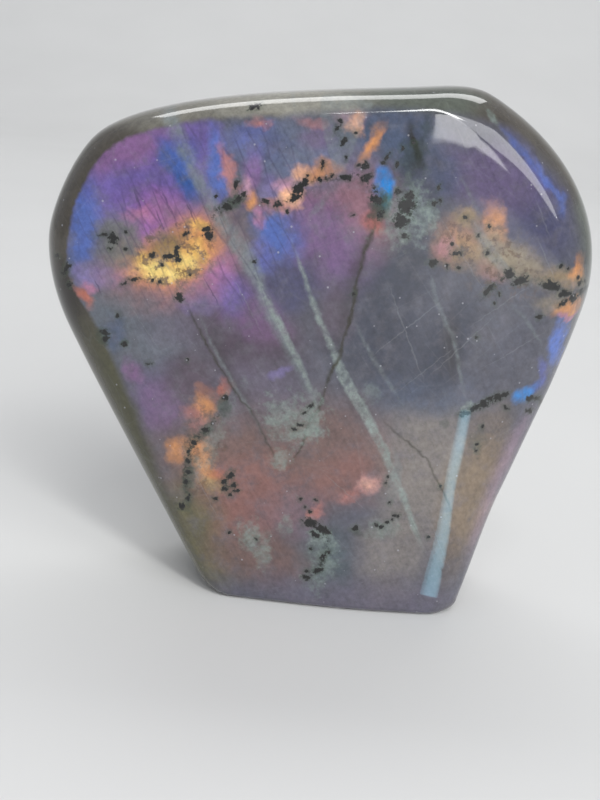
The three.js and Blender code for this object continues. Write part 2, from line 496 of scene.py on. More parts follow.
# The warm flashes have harder, more broken edges
warm_layer = Layer("warm_flashes", takes=["Under"])
warm = lay_patches(warm_layer.under(), warm_layer.where, 0.8, [
    # The golden pocket, upper left
    (-27, 68, 10, 7, 24, SALMON, 0.9),
    (-31.6, 72.6, 3.6, 2, 20, MAGENTA, 0.8),
    (-33, 74.6, 2.2, 1.2, 0, PINK, 0.7),
    (-28.4, 71.6, 2.2, 1.1, 20, PINK, 0.8),
    (-29.5, 65.8, 5.6, 3.4, 0, ORANGE, 1),
    (-22.4, 70.4, 3.4, 4.6, -20, ORANGE, 1),
    (-26, 67, 3, 2.6, 0, GOLD, 0.9),
    (-30.4, 65.2, 2.8, 1.7, 0, YELLOW, 1),
    (-26.8, 64.4, 2.4, 1.3, 20, YELLOW, 0.9),
    (-32.4, 66.8, 1.5, 1.2, 0, GOLD, 1),
    (-22.6, 69.2, 1.9, 2, 0, GOLD, 1),
    (-24, 67.2, 1.6, 1.2, 20, YELLOW, 0.8),
    (-22.6, 73.6, 1.6, 1, 0, GOLD, 0.8),
    (-28.2, 70, 3.6, 2, 24, OLIVE_GOLD, 0.8),
    (-43.3, 58.8, 2.6, 1, -35, RED_ORANGE, 0.9),
    (-42, 60.4, 1.4, 0.9, -30, PINK, 0.8),
    # The peach and orange flecks along the top
    (-13.3, 92.5, 1.7, 1, 0, SALMON, 0.8),
    (-4, 93.4, 2, 0.8, 0, SALMON, 0.4),
    (-17.8, 84, 3.6, 1.1, -68, SALMON, 0.85),
    (-14.4, 81.4, 1, 1.3, 0, PINK_PALE, 0.8),
    (-7.5, 82.2, 1.4, 1.2, 0, PINK_PALE, 0.8),
    (-13.2, 79, 1.3, 1.6, 0, ORANGE_SOFT, 1),
    (-6.8, 80.2, 1.8, 1.5, 0, PEACH, 1),
    (-9, 78.8, 2.6, 1, 0, SALMON, 0.7),
    (-4.6, 84.6, 1.8, 1.4, 20, PEACH, 0.8),
    (-1.4, 85.4, 3, 1.5, 10, ORANGE_SOFT, 0.8),
    (-11.3, 76.3, 1.1, 1.4, 0, PINK, 0.8),
    (3.6, 94, 1.2, 1.6, 0, PEACH, 0.75),
    (6.8, 91, 3, 1, 66, ORANGE_SOFT, 0.95),
    (9, 77.6, 1.8, 2, 0, RED_ORANGE, 0.6),
    # The orange group, upper right
    (24, 75.6, 3.6, 3.4, 0, ORANGE_SOFT, 0.5),
    (27, 73.6, 4.6, 2.6, -18, TAN, 0.6),
    (30.2, 78.8, 1.8, 3.4, 20, ORANGE_SOFT, 0.8),
    (25, 79.8, 2, 1.2, 0, TAN, 0.7),
    (32, 74.6, 4, 2, -40, TAN_GREY, 0.8),
    (36, 72.6, 5, 2.4, -15, TAN_GREY, 0.85),
    (31, 70.6, 3, 1.4, -15, SALMON, 0.3),
    (22, 74.6, 1.4, 1.6, 0, PINK, 0.4),
    (45, 70.4, 4.6, 1.8, -6, TAN, 0.7),
    (47.2, 72, 1.2, 2, 0, ORANGE_SOFT, 0.9),
    (46.8, 64.8, 2.6, 1.7, 0, ORANGE_SOFT, 1),
    (47, 63, 2, 0.6, 0, PINK, 0.8),
    (42.8, 66, 2.6, 1.5, 0, TAN_GREY, 0.7),
    # The orange and red patches, lower left
    (-19.2, 40.6, 1.7, 2.6, 10, ORANGE_SOFT, 0.95),
    (-15.8, 44.2, 2, 1.1, 40, RED_ORANGE, 0.8),
    (-18.6, 43.2, 1.8, 1.3, 0, ROSE, 0.7),
    (-20.4, 37.8, 1.8, 1.8, 0, SALMON, 0.7),
    (-23.8, 30.8, 2, 1.9, 0, ORANGE_SOFT, 0.9),
    (-18.6, 29, 4.6, 2, -64, ORANGE_SOFT, 1),
    (-17, 24.6, 2.2, 1.3, -40, TAN, 0.9),
    (-15.4, 27, 1.4, 1.4, 0, RED_ORANGE, 0.5),
    (13.8, 28.2, 1.9, 1.7, 0, PINK_PALE, 0.55),
    (13.8, 28.2, 1.8, 1.5, 0, PEACH, 0.5),
    (10.8, 25.4, 2.6, 1, 40, SALMON, 0.55),
    (3.9, 21, 1, 1.7, 0, SALMON, 0.7),
])

# The golden pocket and the orange group are broken up by a net of fine crystals
net_places = patch(warm_layer.where, -27.4, 67.6, 8.5, 6, 20).ease(1.3, 0.7, 0.75)
net_places = net_places.most(patch(warm_layer.where, 30, 73, 13, 6.5, -25).ease(1.2, 0.5, 0.7))
net_places = net_places.most(patch(warm_layer.where, -19, 31, 5, 13, -8).ease(1.2, 0.5, 0.55))
brown_net = warm_layer.grain(1.5, 4, 0.65).ease(0.5, 0.62)
warm = warm_layer.paint(warm, NET_BROWN, brown_net * net_places)

# A patch by the left rim, round a knot of dark mineral, has no flash at all
warm = lay_patches(warm, warm_layer.where, 0.4, [
    (-37.2, 69.4, 4.2, 4.8, 0, NO_FLASH, 0.85),
])
flashes = warm_layer.laid(broken, {"Colour": warm}, over=flashes)

# The rims
#
# Where the front rolls over into the sides, the layers no longer send their colour to
# the eye, and the flash ends along a line all round, hard on the left and soft elsewhere.
# Each place on that line is x, height and how far the flash fades there, in mm.
HEART = (2, 55)
REACH = 64  # more than the line's furthest place from the heart
SOFTEST = 10
FLASH_ENDS = [
    (52, 55, 5), (51, 44, 4), (47, 36, 3), (42, 20, 3), (38, 4, 3), (30, -3, 3), (5, -3, 3),
    (-14, 0, 2), (-20, 9, 2.5), (-24, 19, 2.5), (-28.5, 29.5, 2), (-32, 38, 1.5),
    (-36, 45.5, 1), (-39, 51.5, 0.8), (-41.8, 55.5, 0.5), (-44.6, 58.8, 0.4), (-46, 62, 0.4),
    (-46.5, 66, 0.4), (-46, 71, 0.4), (-45.3, 75, 0.4), (-43.2, 80, 0.4), (-40.6, 84.4, 0.4),
    (-36.4, 87.6, 0.5), (-30, 90, 0.6), (-20, 92.4, 0.8), (-10, 93.6, 1), (2, 95.6, 1.2),
    (16, 97, 1.5), (30, 95.6, 1.5), (42, 87, 2), (48.6, 73, 2.5),
]


def bearing_and_reach(x, z):
    dx, dz = x - HEART[0], z - HEART[1]
    return (math.atan2(dz, dx) / math.tau) % 1, math.hypot(dx, dz)


flash_stops = []
for x, z, softness in FLASH_ENDS:
    bearing, reach = bearing_and_reach(x, z)
    flash_stops.append((bearing, (reach / REACH, softness / SOFTEST, 0)))
flash_stops.sort()
flash_stops = [(0, flash_stops[0][1]), *flash_stops[1:], (1, flash_stops[0][1])]

rim_layer = Layer("rims", gives=["Rim"])
from_heart = rim_layer.where.moved((-HEART[0], -HEART[1], -1))
heart_x, heart_z = from_heart.along(1, 0), from_heart.along(0, 1)
bearing_here = heart_z.reckon("ARCTAN2", heart_z, heart_x) / math.tau
bearing_here = bearing_here.reckon("WRAP", bearing_here, 1, 0)
reach_here = rim_layer.vector("LENGTH", {0: from_heart}, "Value")
flash_end = rim_layer.field("ShaderNodeValToRGB", {"stops": flash_stops}, {0: bearing_here})
end_reach, end_softness, _ = rim_layer.parts("ShaderNodeSeparateColor", flash_end)
beyond = (reach_here - end_reach * REACH) / (end_softness * SOFTEST)
in_rim = rim_layer.laid(wavering, {"Rim": beyond.ease(-1, 1)})

# Here and there the flash is weaker, and the grey of the feldspar shows through it
weakness = polished.grain(3, 5, 0.62).ease(0.42, 0.75) * 0.5
flashes = polished.paint(flashes, HAZE, weakness)

# The veins and layers run right through to the back, which shows its colours less
deep = polished.measured(0, 1, 0)
on_front = deep.ease(-1, -5)
dull = in_rim.most(deep.ease(2, 9, 0.6))
colour = polished.paint(flashes, body, dull)

# The veins
#
# Old cracks, healed with paler feldspar, and clear cleavages that catch the light. The
# broad ones run from the top left to the foot, and the dark crack crosses them. A pink band
# down the lower right flank is drawn the same way, as a painted reflection.
VEIN_SPAN = 12  # twice the furthest that a vein strays from its chord, in mm
# the colour of the painted reflection: a pink band down the lower right flank
REFLECTION_PINK = seen(166, 140, 158)
SHADE_BROWN = seen(66, 62, 62)
BROAD_GREY = seen(124, 133, 135)
PALE_GREEN = seen(142, 154, 150)
FAINT_GREY = seen(124, 132, 133)
CRACK_OLIVE = seen(60, 58, 49)


def strand(where, points, feather):
    """How much a place lies in a vein. Each point is x, height and the vein's half width."""
    (x0, z0, _), (x1, z1, _) = points[0], points[-1]
    length = math.hypot(x1 - x0, z1 - z0)
    cos, sin = (x1 - x0) / length, (z1 - z0) / length
    stops = []
    for i, (x, z, half_width) in enumerate(points):
        run = ((x - x0) * cos + (z - z0) * sin) / length
        aside = (z - z0) * cos - (x - x0) * sin
        present = 0 if i in (0, len(points) - 1) else 1
        stops.append((run, (aside / VEIN_SPAN + 0.5, half_width / VEIN_SPAN, present)))
    run = where.along(cos / length, sin / length, -(x0 * cos + z0 * sin) / length)
    side = where.along(-sin, cos, x0 * sin - z0 * cos)
    course = where.mixture.field("ShaderNodeValToRGB", {"stops": stops}, {0: run})
    middle, half_width, present = where.mixture.parts("ShaderNodeSeparateColor", course)
    off = abs(side - (middle - 0.5) * VEIN_SPAN) - half_width * VEIN_SPAN
    return off.ease(feather, -feather) * present


def strands(where, feather, lines):
    """Several veins of one kind"""
    together = strand(where, lines[0], feather)
    for points in lines[1:]:
        together = together.most(strand(where, points, feather))
    return together


vein_and_reflection_layer = Layer("veins", gives=["Broad", "Pale", "Faint", "Dark", "Shades", "Reflected_band"])
broad_vein = strands(vein_and_reflection_layer.where, 0.9, [[
    (-31, 95, 1.0), (-29, 92, 1.3), (-27.6, 90, 1.3), (-23, 82, 1.1), (-20.7, 78, 1.1),
    (-17, 73.6, 1.4), (-14, 70, 1.6), (-11.3, 66, 1.2), (-9.4, 61.5, 0.9), (-6.5, 56.5, 0.8),
    (-3.2, 51.5, 0.6), (-0.8, 47.5, 0.5), (1, 44.5, 0.4), (2.8, 41.5, 0.3),
]])

pale_veins = strands(vein_and_reflection_layer.where, 0.4, [
    [(-14.5, 72, 0.1), (-9.2, 62, 0.45), (-6.2, 57.5, 0.6), (-3.5, 53, 0.5), (-1, 49, 0.4),
     (0.5, 46, 0.4), (2.5, 42, 0.2)],
    [(-6, 74, 0.1), (-4, 69.5, 0.2), (-2.3, 66, 0.35), (-1, 63, 0.4), (0.5, 60, 0.45), (2, 57, 0.5),
     (4.3, 53, 0.6), (6, 49.5, 0.9), (8, 46.5, 1.05), (10.5, 43, 0.95), (12.5, 40, 0.85),
     (14, 37.5, 0.85), (15.5, 35.3, 0.8), (16.6, 33, 0.75), (18.5, 29.5, 0.7), (20.5, 26, 0.6),
     (23, 20.5, 0.5), (26.2, 14, 0.3)],
])

faint_veins = strands(vein_and_reflection_layer.where, 0.35, [
    [(1, 83, 0.1), (-1.2, 79.5, 0.7), (-3.4, 76, 0.1)],
    [(20, 69.5, 0.1), (20.5, 68, 0.3), (21.5, 65, 0.35), (24, 60.5, 0.4), (25.5, 58.5, 0.4),
     (27, 54.5, 0.35), (28, 51, 0.35), (30, 45.6, 0.1)],
    [(24.8, 81, 0.1), (28, 77, 0.8), (30, 74.5, 0.9), (33, 71.5, 0.9), (37, 68, 0.1)],
    [(34, 66, 0.1), (38.5, 62.5, 0.3), (41, 59.5, 0.3), (43.5, 57, 0.1)],
    [(6.6, 61, 0.1), (9.6, 55.6, 0.35), (12, 52, 0.4), (16, 47, 0.3), (19, 43, 0.1)],
    [(17.2, 37, 0.1), (18.6, 32, 0.9), (18.4, 27, 1.3), (18, 23, 0.1)],
    [(21.6, 89, 0.1), (25, 84, 0.3), (28, 79.4, 0.1)],
    [(2.2, 99, 4.2), (1.9, 97.6, 4.6), (1.4, 94.5, 3.8), (1.4, 91, 2.8), (1.7, 87, 1.4),
     (2, 83.6, 0.4)],
    [(-21.5, 58.5, 0.1), (-18.6, 52.5, 0.35), (-13, 44, 0.35), (-9, 38.6, 0.3), (-5.4, 32.4, 0.1)],
    [(-9, 100, 0.1), (-7.6, 97.4, 0.3), (-6.6, 94, 0.1)],
])

dark_cracks = strands(vein_and_reflection_layer.where, 0.35, [
    [(9.2, 78, 0.1), (8.8, 76, 0.3), (8.5, 74.5, 0.45), (7.6, 72, 0.3), (7.4, 70, 0.4),
     (7, 67.5, 0.2), (6.8, 65, 0.45), (6.8, 62, 0.25), (6.3, 59, 0.4), (5.7, 56, 0.2),
     (5.2, 52, 0.35), (4, 49.5, 0.4), (3.5, 47, 0.15), (3, 44, 0.25), (2.5, 42, 0.3),
     (1.5, 40.5, 0.2), (0.5, 38, 0.2), (0.3, 35, 0.2), (-0.5, 33, 0.15), (-2.4, 29.6, 0.1)],
    [(-24.4, 60.8, 0.1), (-22, 56.5, 0.16), (-20, 53, 0.2), (-18, 50, 0.16), (-12, 42, 0.14),
     (-10, 40.3, 0.14), (-8, 37, 0.15), (-6.3, 34, 0.2), (-4, 30.2, 0.1)],
    [(13.6, 42, 0.05), (17, 39, 0.14), (20, 37, 0.14), (24, 34, 0.14), (26, 30.5, 0.15),
     (28.5, 27, 0.14), (31.4, 20.6, 0.05)],
    [(-19, 78, 0.1), (-18.4, 76.4, 0.25), (-17.8, 74.8, 0.1)],
    [(13, 95.6, 0.2), (13.6, 93, 0.5), (15, 90, 0.6), (16.4, 87, 0.4)],
])
shades = strands(vein_and_reflection_layer.where, 1.6, [
    [(8.6, 78, 0.2), (7.8, 74, 0.7), (6.4, 69, 0.9), (5.8, 63, 0.7), (5, 56, 0.4), (4.4, 50, 0.2)],
    [(12, 98, 0.2), (13.4, 94, 0.9), (15.2, 89, 1.2), (15.4, 84, 0.3)],
    [(24.6, 66, 0.2), (25, 59, 1.4), (26.2, 53, 1.6), (27.6, 47, 0.2)],
    [(-22.6, 60, 0.1), (-17, 51, 0.6), (-11.6, 42.5, 0.7), (-6, 33, 0.1)],
])
# Painted reflection: a pink band down the lower right flank, drawn like a vein
reflected_band = strands(vein_and_reflection_layer.where, 2.2, [
    [(44, 46, 0.2), (42.2, 40, 1.0), (41, 36, 1.4), (39.8, 32, 1.4), (38.3, 26, 1.2),
     (36.6, 18, 0.9), (35, 9, 0.2)],
])
broad_vein, pale_veins, faint_veins, dark_cracks, shades, reflected_band = vein_and_reflection_layer.laid(wavering, {
    "Broad": broad_vein, "Pale": pale_veins, "Faint": faint_veins, "Dark": dark_cracks,
    "Shades": shades, "Reflected_band": reflected_band,
})
milkiness = polished.grain(1.9, 5, 0.68).ease(0.32, 0.66)
# Painted reflection: the pink band on the lower right flank
colour = polished.paint(colour, REFLECTION_PINK, reflected_band * 0.5)
colour = polished.paint(colour, SHADE_BROWN, shades * 0.55)
colour = polished.paint(colour, BROAD_GREY, broad_vein * (0.3 + milkiness * 0.5))
colour = polished.paint(colour, PALE_GREEN, pale_veins * (0.2 + milkiness * 0.65))
colour = polished.paint(colour, FAINT_GREY, faint_veins * (0.15 + milkiness * 0.35))
colour = polished.paint(colour, CRACK_OLIVE, dark_cracks * (0.55 + milkiness * 0.35))

# Fine cleavages: nets of hairlines, whose meshes are drawn out along a direction, and a few
# plainer ones, each a very thin ellipse given by its two ends
DARK_LINE = seen(72, 66, 88)
PALE_LINE = seen(140, 143, 146)
CLEAVAGES = [
    (-34.6, 79.2, -32.6, 75, 0.2), (-29.8, 79.8, -26, 73.4, 0.26), (-30.6, 76, -28, 71.6, 0.2),
    (-25, 78, -22.6, 73.4, 0.18), (-21, 65, -17.4, 59.4, 0.16), (-41, 62, -39.4, 58.8, 0.15),
]
PALE_CLEAVAGES = [
    (12, 68, 22, 48, 0.16), (10, 52, 24, 66, 0.14), (22, 50, 33, 63, 0.14), (28, 60, 40, 70, 0.12),
    (16, 46, 27, 57, 0.12), (31, 52, 44, 61, 0.12), (-16, 66, -9, 55, 0.14), (4, 30, 14, 22, 0.12),
    (-36, 60, -28, 50, 0.12), (-24, 34, -14, 16, 0.12), (20, 80, 31, 66, 0.12),
    (38, 78, 44, 68, 0.14), (37, 84, 41, 77, 0.18), (26, 22, 32, 10, 0.12),
    (-30, 70, -24, 60, 0.12),
]


def hairlines(where, lines):
    """How much a place lies on one of these lines"""
    nearest = None
    for x0, z0, x1, z1, half_width in lines:
        half_length = math.hypot(x1 - x0, z1 - z0) / 2
        turn = math.degrees(math.atan2(z1 - z0, x1 - x0))
        off = patch(where, (x0 + x1) / 2, (z0 + z1) / 2, half_length, half_width, turn)
        nearest = nearest.least(off) if nearest else off
    return nearest.ease(1.2, 0.5)


def net(layer, turn, length, breadth, width):
    """Hairlines round meshes of this length and breadth in mm, turned by this angle"""
    edges = layer.field(
        "ShaderNodeTexVoronoi",
        {"voronoi_dimensions": "2D", "feature": "DISTANCE_TO_EDGE"},
        {"Vector": layer.drawn_out(turn, length, breadth), "Scale": 1},
    )
    return edges.ease(width / breadth, 0)


cleavage_layer = Layer("cleavages", gives=["Dark", "Pale"])
dark_net = net(cleavage_layer, -60, 9, 2, 0.24).most(net(cleavage_layer, 52, 9, 3.4, 0.18) * 0.4)
pale_net = net(cleavage_layer, -48, 24, 6, 0.16).most(net(cleavage_layer, 40, 22, 8, 0.16))
crazed = patch(cleavage_layer.where, -22, 76, 26, 20).ease(1.2, 0.6) * 0.7
patchy = cleavage_layer.grain(9, 3)
dark_lines = hairlines(cleavage_layer.where, CLEAVAGES)
pale_lines = hairlines(cleavage_layer.where, PALE_CLEAVAGES)
dark_cleavages, pale_cleavages = cleavage_layer.laid(wavering, {
    "Dark": (dark_net * crazed * patchy.ease(0.35, 0.55)).most(dark_lines),
    "Pale": (pale_net * patchy.ease(0.6, 0.4) * 0.4).most(pale_lines),
})
colour = polished.paint(colour, DARK_LINE, dark_cleavages * (1 - in_rim) * 0.5)
colour = polished.paint(colour, PALE_LINE, pale_cleavages * 0.2)

# The dark grains
#
# Black-green pyroxene and ore, crystallised in strings and knots along the old cracks.
# Each grain is small and ragged, and shades into green crumbs where it has altered.
CRUMB_GREEN = seen(134, 148, 142)
KNOT_GREEN = seen(66, 76, 69)
STRING_GREEN = seen(46, 52, 46)
STAIN_GREEN = seen(78, 88, 78)
ORE_BLACK = seen(38, 44, 40)
CRUMBS = [
    (-1.5, 39.5, 5, 4, 0, 1.0), (-4, 31.4, 1.6, 1.8, 0, 0.8), (30.3, 45, 1.2, 0.8, 20, 1),
    (13.9, 79.6, 4.2, 4.8, 0, 0.9), (17.6, 79, 2.2, 2.6, 0, 1), (11.6, 80, 1.6, 3.4, 0, 0.8),
    (5.8, 15.4, 2.6, 1.8, 0, 0.9), (6.4, 10.6, 2.2, 5, -10, 0.7), (-8.4, 14.6, 1.9, 3, 20, 0.9),
    (-5.4, 11.4, 1.4, 3.4, 0, 0.9), (-1.5, 17.5, 1.3, 1.9, 0, 0.7), (12, 46, 2, 1.6, 0, 0.4),
    (17.4, 19, 2.6, 1.8, 20, 0.6), (27.6, 97.2, 1.3, 0.6, -45, 0.7),
    (-17.2, 33, 1.8, 9.5, -18, 0.5),
]
GREEN_KNOTS = [
    (-16.6, 78.6, 2.4, 1.1, 30, 1), (9.3, 80, 1.5, 2.6, -20, 1), (-15.3, 40.2, 1.1, 1.7, 20, 0.8),
    (-13.4, 25.2, 1.4, 2.1, 0, 0.6), (-39, 51.6, 1.1, 1.5, 0, 0.6), (-34.9, 50.6, 0.7, 0.6, 0, 0.8),
    (12.2, 17.8, 1.1, 0.9, 0, 0.6), (14.8, 90, 2, 4.5, -14, 0.6), (-21.3, 27, 1, 7, 3, 0.7),
    (-18.8, 35.2, 4, 0.9, 52, 0.7), (26.3, 41.2, 0.8, 0.7, 0, 0.5), (33, 38, 1.4, 2.6, 0, 0.4),
]


def clumps(where, roughened, spots):
    """How much a place lies in one of these ragged spots"""
    amount = None
    for x, z, half_width, half_height, turn, strength in spots:
        off = patch(where, x, z, half_width, half_height, turn) + roughened
        here = off.ease(1.6, 0.4, strength)
        amount = amount.most(here) if amount else here
    return amount


# Strings of fine dark crystals, each point with the string's half width
STRINGS = [
    [(41.4, 69.2, 0.1), (43, 68.9, 0.8), (44.6, 67.8, 0.6), (47.2, 66.8, 1), (49.2, 67.4, 0.6),
     (52.5, 68.4, 0.5)],
    [(28.6, 42.8, 0.1), (30, 43.7, 0.5), (31.6, 44.8, 0.6), (33.6, 46, 0.8), (36, 46.9, 0.8),
     (38.2, 47.8, 0.1)],
    [(42, 46.8, 0.1), (43.4, 46.2, 0.4), (45, 45.6, 0.5), (47.6, 43, 0.2)],
    [(27.6, 62.6, 0.1), (30, 66, 0.3), (31.6, 68, 0.5), (34, 70.4, 0.6), (36.4, 69.8, 0.8),
     (39.4, 68, 0.1)],
    [(-20.8, 20, 0.2), (-21.6, 24, 0.6), (-21.6, 29, 0.7), (-20.8, 33, 0.6), (-17.6, 36.4, 0.5),
     (-14.6, 41.4, 0.8)],
    [(-13.6, 22.8, 0.1), (-13.4, 25, 0.9), (-12.6, 27.6, 0.3)],
    [(3.2, 6, 0.3), (5.2, 8, 0.6), (6.6, 11.4, 0.6), (6.8, 15, 0.3), (5.4, 17.4, 0.8),
     (2.6, 19, 0.9)],
    [(-39.6, 53.4, 0.2), (-38.6, 51, 0.7), (-38, 48.6, 0.2)],
    [(-48.8, 65.6, 0.2), (-47, 63.2, 0.4), (-45.2, 60, 0.4), (-44.6, 58.6, 0.1)],
    [(-21.6, 73.6, 0.2), (-18.6, 77.2, 0.7), (-15.6, 79.2, 0.7), (-13.6, 80.2, 0.1)],
    [(-7.6, 78.4, 0.1), (-5.4, 81.2, 0.9), (-3.8, 83.6, 0.4), (0.8, 84.4, 0.3), (5.4, 85.6, 0.4),
     (8.8, 82.4, 0.7), (9.6, 78.6, 0.8)],
    [(13.6, 84, 0.1), (14.4, 81.6, 2), (13.6, 78.4, 1.9), (13, 76, 0.1)],
]

crumb_layer = Layer("crumbs", gives=["Crumbs", "Knots", "Strings"])
crumbling = (crumb_layer.grain(1.7, 4, 0.62) - 0.5) * 3.4
speckling = crumb_layer.grain(0.75, 3, 0.7).ease(0.5, 0.58)
crumbs, knots, strings = crumb_layer.laid(wavering, {
    "Crumbs": clumps(crumb_layer.where, crumbling, CRUMBS),
    "Knots": clumps(crumb_layer.where, crumbling, GREEN_KNOTS),
    "Strings": strands(crumb_layer.where, 0.7, STRINGS) * speckling,
})
colour = polished.paint(colour, CRUMB_GREEN, crumbs * (0.25 + milkiness * 0.6))
colour = polished.paint(colour, KNOT_GREEN, knots * 0.75)
colour = polished.paint(colour, STRING_GREEN, strings * on_front * 0.85)

# Grains by their half height in mm, each as x, height, half length and turn
GRAINS = {
    0.3: [
        (-48.6, 65.2, 0.45, 0), (-36.4, 55.8, 0.35, 0), (-47, 62.4, 0.7, 50),
        (-30.2, 47.2, 0.45, 0), (-23, 48.7, 0.4, 0), (-35.6, 71.3, 0.35, 0), (-38.3, 68, 0.35, 0),
        (-35.5, 68.2, 0.3, 0), (-39.5, 70.3, 0.8, 20), (-24.5, 72, 0.5, 40), (-28.5, 66.2, 0.4, 0),
        (-30, 63, 0.4, 0), (-28.8, 62.7, 0.4, 0), (-23.2, 64.8, 0.3, 0), (-35.3, 61.8, 0.5, 30),
        (-12.2, 23.9, 0.35, 0), (-11.5, 24, 0.3, 0), (-12.9, 22.9, 0.35, 0), (-15.7, 21.8, 0.35, 0),
        (-12.4, 14.9, 0.3, 0), (-1.3, 86.5, 0.6, 80), (-3.7, 84.5, 0.35, 0), (-1.5, 84.1, 0.3, 0),
        (-0.4, 84.4, 0.3, 0), (0.6, 84.8, 0.35, 0), (0.7, 93, 0.7, 85), (0.9, 94.3, 0.35, 0),
        (2.7, 88.2, 0.3, 0), (4, 92.3, 0.35, 0), (9.8, 89, 0.5, 60), (9.3, 87.9, 0.3, 0),
        (5, 87, 0.4, 30), (4.9, 78.5, 0.35, 0), (6.5, 64.5, 0.3, 0), (-11.8, 68.5, 0.35, 0),
        (-16.2, 81.5, 0.8, 80), (-6.7, 77.9, 0.4, 0), (-10.6, 79.2, 0.7, 0), (23.2, 75, 0.35, 0),
        (24.8, 70.8, 0.35, 0), (22.8, 71, 0.35, 0), (24.8, 79.7, 0.35, 0), (29.3, 78.7, 0.4, 0),
        (27.5, 76.8, 0.4, 0), (29.7, 74, 0.4, 0), (32.3, 65, 0.3, 0), (32.9, 66.8, 0.35, 0),
        (45, 72, 0.35, 0), (47.5, 70.5, 0.4, 0), (38, 44.8, 0.5, -30), (33.6, 41, 0.35, 0),
        (33.3, 37.5, 0.35, 0), (33.3, 36.2, 0.4, 60), (19, 81.8, 0.7, 20), (20, 82.5, 0.4, 0),
        (19.5, 84.5, 0.45, 60), (12.2, 90.6, 0.4, 0), (14, 91.8, 0.35, 0), (11.8, 87.8, 0.5, 60),
        (0.6, 23.5, 0.4, 0), (1.8, 21.9, 0.35, 0), (2.7, 21, 0.3, 0), (3.7, 23.5, 0.3, 0),
        (3.8, 13.1, 0.35, 0), (18, 24.5, 0.3, 0), (17, 29.8, 0.3, 0), (16.8, 28.4, 0.3, 0),
        (27.3, 28.6, 0.4, 20), (26.4, 17.8, 0.4, -40), (-1.7, 37.6, 0.45, 0), (-0.7, 38.6, 0.5, 0),
        (-0.2, 41.2, 0.35, 0), (0.9, 42.5, 0.5, 60), (7.2, 12.8, 0.35, 0), (6.2, 11, 0.3, 0),
        (3.4, 8.2, 0.45, 0), (16, 19.5, 0.3, 0), (17, 19.2, 0.35, 0), (18, 20.3, 0.35, 0),
        (18.8, 21, 0.35, 0), (19.3, 22, 0.3, 0), (20, 21.8, 0.3, 0), (-6.9, 14, 0.3, 0),
        (-22.3, 18.8, 0.5, 0), (30, 58.4, 0.25, 0), (43.3, 72.6, 0.3, 0), (49.4, 69.6, 0.4, 0),
        (-33.6, 62.8, 0.8, 10), (-20.8, 22, 0.4, 0), (8.2, 83.4, 0.4, 0), (-19.6, 79.2, 0.35, 0),
    ],
    0.5: [
        (-45.7, 60.3, 0.6, 0), (-46.2, 63.6, 0.8, 50), (-38.9, 52.2, 0.9, 0),
        (-38.5, 50.8, 0.7, 60), (-34.9, 50.5, 0.5, 0), (-30.5, 67.6, 0.6, 0), (-26, 69, 0.9, 80),
        (-25.7, 67.4, 0.6, 0), (-27.4, 67.8, 0.8, 30), (-20.9, 73.2, 0.8, 20), (-14.8, 80, 0.6, 0),
        (-17.4, 77.6, 0.8, 0), (-15.6, 79, 0.9, 40), (-8.5, 78.9, 0.7, 0), (-4, 83.2, 0.7, 60),
        (-5.6, 80.4, 1.3, 30), (2, 90.7, 0.7, 80), (3, 84.8, 0.8, 0), (6.1, 87, 0.7, 70),
        (6.6, 85, 0.9, 40), (9.3, 81.2, 0.7, 40), (9.8, 79, 0.8, 60), (12.5, 83.3, 0.6, 0),
        (14.5, 75.5, 0.7, 0), (24, 73.3, 0.9, 30), (31, 67.4, 1.2, 50), (20, 71.3, 0.8, 0),
        (41, 63.1, 0.5, 0), (44.8, 67.6, 0.8, 0), (46, 67.5, 0.9, 0), (49, 67.6, 0.7, 30),
        (50.6, 68.4, 0.9, 20), (52, 68, 0.6, 0), (45.3, 65.9, 0.9, 30), (48.2, 69.5, 0.6, 60),
        (37, 47.4, 0.9, 20), (34.3, 46.8, 0.8, 20), (31.6, 44.7, 1, 30), (29.9, 43.6, 0.8, 20),
        (42.8, 46.3, 0.7, 0), (44.4, 46, 0.7, 0), (45.9, 44.8, 0.7, -40), (43.3, 43.5, 0.7, -20),
        (-22, 19.4, 0.8, 0), (-21, 21.2, 0.5, 0), (-21.5, 24.5, 0.6, 80), (-21.3, 26.5, 0.5, 0),
        (-21.5, 29, 0.6, 80), (-21.5, 31, 0.6, 60), (-20.5, 33, 0.6, 50), (-18.5, 35.5, 0.6, 0),
        (-15.2, 42.2, 0.6, 0), (-13.2, 26.9, 0.9, 50), (-14.2, 25.4, 0.6, 0), (-14, 24, 0.5, 0),
        (-12.3, 25, 0.5, 0), (6.3, 11.7, 0.7, 30), (5.6, 8.6, 0.9, 20), (3.5, 6.8, 0.8, 0),
        (6.6, 16.8, 0.6, 0), (4.3, 16.3, 0.8, -30), (-14, 95.2, 0.9, 20), (11.9, 18.4, 0.7, 0),
    ],
    0.8: [
        (-37.8, 69.8, 0.9, 0), (-25, 60.4, 0.9, 0), (-20.5, 72.2, 1, 60), (-5.2, 81.9, 1.3, 55),
        (36.4, 69.5, 1.3, 20), (34.2, 70.6, 0.9, 0), (42.2, 69, 1.7, -12), (47.3, 66.6, 1, 0),
        (35.8, 47, 1, 0), (33.3, 45.7, 1.1, 30), (3.4, 18.6, 1.6, -8), (5.4, 17.6, 1.3, -30),
        (8.4, 81.6, 1, 0), (14.6, 82.6, 0.9, 0),
    ],
    1.25: [(14.2, 80.9, 1.3, 0), (13.6, 78.2, 1.6, 10)],
}
RAGGED = 2.4
NEARLY_ROUND = 1.4

